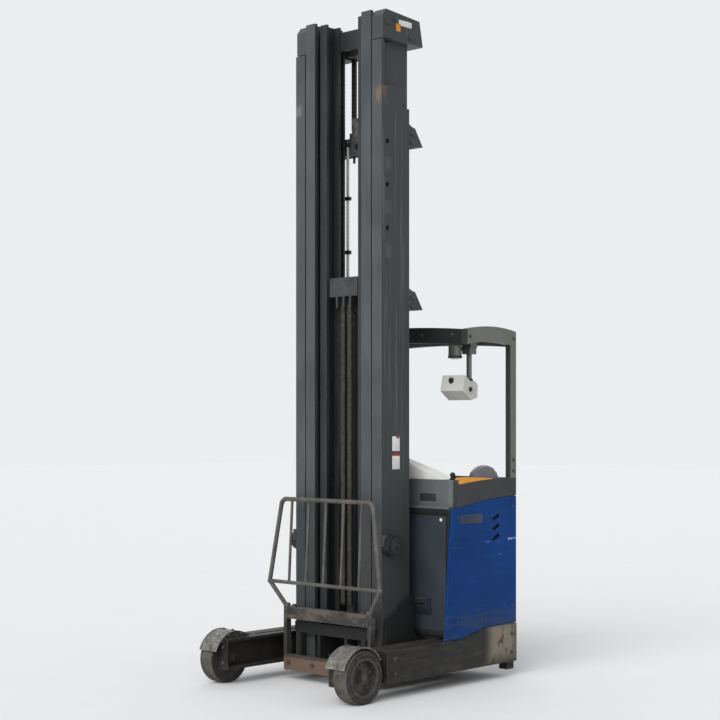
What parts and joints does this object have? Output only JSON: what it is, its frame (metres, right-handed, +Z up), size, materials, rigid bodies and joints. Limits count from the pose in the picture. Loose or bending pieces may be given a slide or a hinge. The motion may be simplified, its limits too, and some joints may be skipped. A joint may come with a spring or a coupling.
{
  "type": "reach truck",
  "caption": "Electric reach truck with a telescopic mast on a sliding reach frame, fork carriage with load backrest and no forks, low outriggers and a guarded side seat.",
  "frame": {"origin": "on the floor under the middle of the truck's box", "axes": "+X forward to the fork carriage, +Y to the truck's left, +Z up"},
  "size_m": [1.625, 1.27, 4.19],
  "materials": {
    "frame_paint": "satin black paint, scuffed and dusty",
    "bare_steel": "worn bare steel",
    "cover_metal": "pale paint worn through to metal",
    "battery_case": "dark grey trough",
    "slate_paint": "slate grey paint",
    "blue_paint": "blue paint with pale scratches",
    "grey_plastic": "grained grey moulding",
    "dark_plastic": "grained dark grey moulding",
    "yellow_plastic": "yellow orange moulding",
    "seat_vinyl": "dark grey vinyl",
    "pale_plastic": "pale grey moulding",
    "black_plastic": "black moulding",
    "guard_grey": "grey paint",
    "guard_black": "black paint",
    "load_tyre": "grey brown polyurethane",
    "drive_tyre": "black polyurethane",
    "motor_casting": "dark casting",
    "mast_paint": "black mast paint with worn flanges",
    "cylinder_paint": "black paint",
    "chrome_rod": "hard chrome",
    "chain_steel": "oiled leaf chain",
    "pipe_steel": "plated pipe",
    "hose_rubber": "black hose",
    "carriage_rust": "worn paint with rust"
  },
  "bodies": {
    "chassis": {"base_frame": "frame_paint", "outrigger_left": "frame_paint", "outrigger_right": "frame_paint", "load_axles": "bare_steel", "wheel_covers": "cover_metal", "battery": "battery_case", "front_cover": "slate_paint", "side_cover_left": "blue_paint", "side_cover_right": "blue_paint", "rear_cover": "blue_paint", "hood": "grey_plastic", "upper_band": "dark_plastic", "side_trim": "yellow_plastic", "seat_base": "dark_plastic", "seat_cushion": "seat_vinyl", "seat_backrest": "seat_vinyl", "console": "pale_plastic", "control_lever": "black_plastic", "steering_wheel": "black_plastic", "guard_frame": "guard_grey", "guard_grille": "guard_black", "guard_legs": "guard_grey", "display_arm": "guard_grey", "display": "pale_plastic"},
    "load_wheel_left": {"load_tyre_left": "load_tyre", "load_hub_left": "bare_steel"},
    "load_wheel_right": {"load_tyre_right": "load_tyre", "load_hub_right": "bare_steel"},
    "drive_unit": {"drive_fork": "frame_paint", "drive_motor": "motor_casting"},
    "drive_wheel": {"drive_tyre": "drive_tyre", "drive_hub": "bare_steel"},
    "outer_mast": {"mast_outer_rails": "mast_paint", "mast_outer_beams": "mast_paint", "reach_frame": "mast_paint", "side_caps": "black_plastic", "lift_cylinders": "cylinder_paint", "oil_pipe": "pipe_steel", "mast_hoses": "hose_rubber"},
    "middle_mast": {"mast_middle_rails": "mast_paint", "mast_head": "mast_paint", "lift_rods": "chrome_rod", "mast_chains": "chain_steel"},
    "inner_mast": {"mast_inner_rails": "mast_paint", "free_lift_cylinder": "cylinder_paint"},
    "crosshead": {"free_lift_rod": "chrome_rod", "lift_chains": "chain_steel"},
    "lift_carriage": {"carriage_plates": "mast_paint"},
    "fork_carriage": {"fork_frame": "carriage_rust", "load_backrest": "carriage_rust"}
  },
  "joints": [
    {"name": "load_wheel_left_roll", "type": "hinge", "parent": "chassis", "child": "load_wheel_left", "pos_m": [0.64754, 0.58, 0.1575], "axis": [0, 1, 0], "continuous": true},
    {"name": "load_wheel_right_roll", "type": "hinge", "parent": "chassis", "child": "load_wheel_right", "pos_m": [0.64754, -0.58, 0.1575], "axis": [0, 1, 0], "continuous": true},
    {"name": "steering", "type": "hinge", "parent": "chassis", "child": "drive_unit", "pos_m": [-0.58046, 0.15, 0.38], "axis": [0, 0, 1], "range_deg": [-90, 90]},
    {"name": "drive_wheel_roll", "type": "hinge", "parent": "drive_unit", "child": "drive_wheel", "pos_m": [-0.58046, 0.15, 0.1715], "axis": [0, 1, 0], "continuous": true},
    {"name": "reach", "type": "slide", "parent": "chassis", "child": "outer_mast", "axis": [1, 0, 0], "range_m": [0, 0.52]},
    {"name": "mast_lift", "type": "slide", "parent": "outer_mast", "child": "middle_mast", "axis": [0, 0, 1], "range_m": [0, 3]},
    {"name": "inner_lift", "type": "slide", "parent": "middle_mast", "child": "inner_mast", "axis": [0, 0, 1], "range_m": [0, 3]},
    {"name": "free_lift", "type": "slide", "parent": "inner_mast", "child": "lift_carriage", "axis": [0, 0, 1], "range_m": [0, 2.9]},
    {"name": "crosshead_lift", "type": "slide", "parent": "inner_mast", "child": "crosshead", "axis": [0, 0, 1], "range_m": [0, 1.45]},
    {"name": "fork_tilt", "type": "hinge", "parent": "lift_carriage", "child": "fork_carriage", "pos_m": [0.25754, 0, 0.115], "axis": [0, -1, 0], "range_deg": [-2, 4]}
  ],
  "couplings": [
    {"joint": "inner_lift", "follows": "mast_lift", "ratio": 1},
    {"joint": "crosshead_lift", "follows": "free_lift", "ratio": 0.5}
  ]
}
